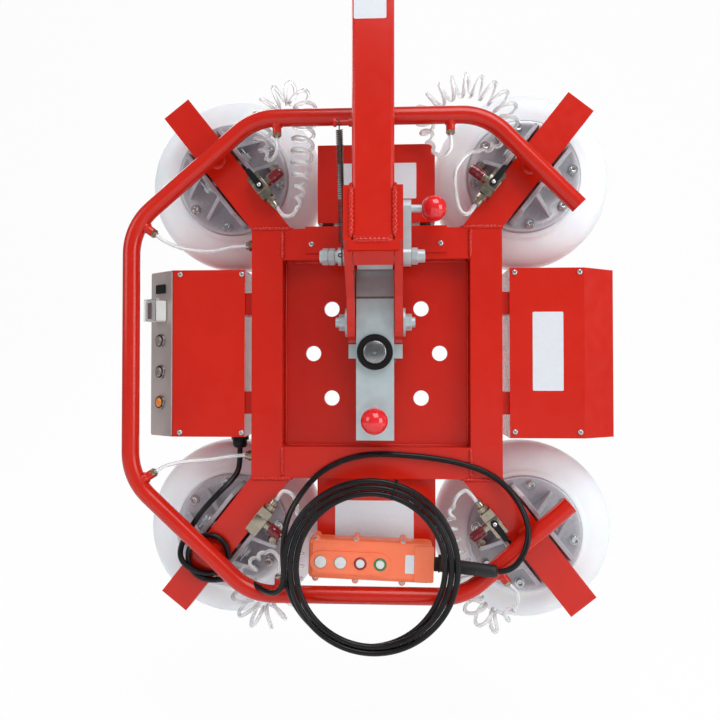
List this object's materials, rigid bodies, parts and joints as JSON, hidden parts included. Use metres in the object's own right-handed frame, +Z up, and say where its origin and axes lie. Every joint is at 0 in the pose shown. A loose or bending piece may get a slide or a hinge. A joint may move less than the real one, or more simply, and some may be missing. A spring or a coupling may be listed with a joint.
{
  "type": "vacuum lifter",
  "caption": "Vacuum lifter: mast with lifting eye, tilting and swivelling red frame, suction pads on diagonal arms, handrail, pump and control boxes, pendant.",
  "frame": {"origin": "centre of the lifting eye, at the top of the mast", "axes": "+Z up the mast, +X to the right as seen from the operator, +Y from the operator towards the pads"},
  "size_m": [0.7959, 0.267, 1.1371],
  "materials": {
    "red_powder_coat": "glossy powder coat",
    "red_plastic": "glossy",
    "bright_steel": "satin",
    "zinc_plate": "zinc plated, satin",
    "nickel_plate": "nickel plated",
    "cast_aluminium": "as cast",
    "brushed_panel": "brushed",
    "black_plastic": "satin",
    "black_cable": "satin",
    "grey_plastic": "matt",
    "clear_plastic": "clear",
    "clear_hose": "clear",
    "white_silicone": "milky, matt",
    "orange_plastic": "satin",
    "white_plastic": "satin",
    "amber_lens": "glossy"
  },
  "bodies": {
    "mast": {"mast_tube": "red_powder_coat", "lifting_lug": "red_powder_coat", "mast_fork": "red_powder_coat", "tilt_pin": "bright_steel", "return_spring": "bright_steel"},
    "lock": {"lock_shaft": "bright_steel", "lock_pawl": "bright_steel", "lock_lever": "bright_steel", "lock_ball": "red_plastic"},
    "bar": {"swivel_bar": "zinc_plate"},
    "index": {"index_pin": "bright_steel", "index_ball": "red_plastic"},
    "frame": {"hub_shaft": "bright_steel", "hub_ring": "black_plastic", "frame_rails": "red_powder_coat", "index_plate": "red_powder_coat", "handrail": "red_powder_coat", "control_box": "red_powder_coat", "pump_box": "red_powder_coat", "top_box": "red_powder_coat", "bottom_box": "red_powder_coat", "top_bracket": "red_powder_coat", "control_panel": "brushed_panel", "breaker": "grey_plastic", "pendant_case": "orange_plastic", "pendant_boot": "black_plastic", "air_valve_ul": "nickel_plate", "air_valve_ur": "nickel_plate", "air_valve_ll": "nickel_plate", "air_valve_lr": "nickel_plate", "cable_from_boot": "black_cable", "cable_to_loops": "black_cable", "cable_to_gland": "black_cable", "cable_coil": "black_cable", "cable_loops": "black_cable", "hose_ul": "clear_hose", "hose_ur": "clear_hose", "hose_ll": "clear_hose", "hose_lr": "clear_hose", "hose_left_upper": "clear_hose", "hose_left_lower": "clear_hose"},
    "cup_ul": {"cup_casting_ul": "cast_aluminium", "suction_cup_ul": "white_silicone"},
    "cup_ur": {"cup_casting_ur": "cast_aluminium", "suction_cup_ur": "white_silicone"},
    "cup_ll": {"cup_casting_ll": "cast_aluminium", "suction_cup_ll": "white_silicone"},
    "cup_lr": {"cup_casting_lr": "cast_aluminium", "suction_cup_lr": "white_silicone"},
    "valve_handle_ul": {"valve_handle_ul": "black_plastic"},
    "valve_handle_ur": {"valve_handle_ur": "black_plastic"},
    "valve_handle_lr": {"valve_handle_lr": "black_plastic"},
    "flap": {"breaker_flap": "clear_plastic"},
    "panel_button_top": {"panel_button_top": "bright_steel"},
    "panel_button_middle": {"panel_button_middle": "bright_steel"},
    "panel_button_lamp": {"panel_button_lamp": "amber_lens"},
    "pendant_button_1": {"pendant_button_1": "white_plastic"},
    "pendant_button_2": {"pendant_button_2": "white_plastic"},
    "pendant_button_3": {"pendant_button_3": "white_plastic"},
    "pendant_button_4": {"pendant_button_4": "white_plastic"}
  },
  "joints": [
    {"name": "tilt", "type": "hinge", "parent": "mast", "child": "bar", "pos_m": [0, 0.087, -0.601], "axis": [1, 0, 0], "range_deg": [-90, 0]},
    {"name": "swivel", "type": "hinge", "parent": "bar", "child": "frame", "pos_m": [0, 0.112, -0.648], "axis": [0, 1, 0], "continuous": true},
    {"name": "lock", "type": "hinge", "parent": "mast", "child": "lock", "pos_m": [0, 0.067, -0.501], "axis": [1, 0, 0], "range_deg": [0, 60], "stiffness_Nm_per_rad": 2, "springref_deg": -20.05, "deforming": ["return_spring"]},
    {"name": "index", "type": "slide", "parent": "bar", "child": "index", "axis": [0, -1, 0], "range_m": [0, 0.02], "stiffness_N_per_m": 800, "springref_m": -0.01},
    {"name": "cup_tilt_ul", "type": "hinge", "parent": "frame", "child": "cup_ul", "pos_m": [-0.24543, 0.137, -0.35043], "axis": [0.7837, 0, 0.6211], "range_deg": [-5, 5]},
    {"name": "cup_tilt_ur", "type": "hinge", "parent": "frame", "child": "cup_ur", "pos_m": [0.24543, 0.137, -0.35043], "axis": [0.7837, 0, -0.6211], "range_deg": [-5, 5]},
    {"name": "cup_tilt_ll", "type": "hinge", "parent": "frame", "child": "cup_ll", "pos_m": [-0.24543, 0.137, -0.94557], "axis": [-0.7837, 0, 0.6211], "range_deg": [-5, 5]},
    {"name": "cup_tilt_lr", "type": "hinge", "parent": "frame", "child": "cup_lr", "pos_m": [0.24543, 0.137, -0.94557], "axis": [-0.7837, 0, -0.6211], "range_deg": [-5, 5]},
    {"name": "valve_turn_ul", "type": "hinge", "parent": "frame", "child": "valve_handle_ul", "pos_m": [-0.18316, 0.112, -0.38338], "axis": [0, 1, 0], "range_deg": [0, 90]},
    {"name": "valve_turn_ur", "type": "hinge", "parent": "frame", "child": "valve_handle_ur", "pos_m": [0.18316, 0.112, -0.38338], "axis": [0, 1, 0], "range_deg": [0, 90]},
    {"name": "valve_turn_lr", "type": "hinge", "parent": "frame", "child": "valve_handle_lr", "pos_m": [0.18316, 0.112, -0.91262], "axis": [0, 1, 0], "range_deg": [0, 90]},
    {"name": "flap_open", "type": "hinge", "parent": "frame", "child": "flap", "pos_m": [-0.36476, 0.11832, -0.56065], "axis": [-0.8, 0.6, 0], "range_deg": [0, 30]},
    {"name": "panel_button_top_press", "type": "slide", "parent": "frame", "child": "panel_button_top", "axis": [0.6, 0.8, 0], "range_m": [0, 0.002], "stiffness_N_per_m": 500, "springref_m": -0.001},
    {"name": "panel_button_middle_press", "type": "slide", "parent": "frame", "child": "panel_button_middle", "axis": [0.6, 0.8, 0], "range_m": [0, 0.002], "stiffness_N_per_m": 500, "springref_m": -0.001},
    {"name": "panel_button_lamp_press", "type": "slide", "parent": "frame", "child": "panel_button_lamp", "axis": [0.6, 0.8, 0], "range_m": [0, 0.002], "stiffness_N_per_m": 500, "springref_m": -0.001},
    {"name": "pendant_button_1_press", "type": "slide", "parent": "frame", "child": "pendant_button_1", "axis": [0, 1, 0], "range_m": [0, 0.003], "stiffness_N_per_m": 500, "springref_m": -0.001},
    {"name": "pendant_button_2_press", "type": "slide", "parent": "frame", "child": "pendant_button_2", "axis": [0, 1, 0], "range_m": [0, 0.003], "stiffness_N_per_m": 500, "springref_m": -0.001},
    {"name": "pendant_button_3_press", "type": "slide", "parent": "frame", "child": "pendant_button_3", "axis": [0, 1, 0], "range_m": [0, 0.003], "stiffness_N_per_m": 500, "springref_m": -0.001},
    {"name": "pendant_button_4_press", "type": "slide", "parent": "frame", "child": "pendant_button_4", "axis": [0, 1, 0], "range_m": [0, 0.003], "stiffness_N_per_m": 500, "springref_m": -0.001}
  ]
}
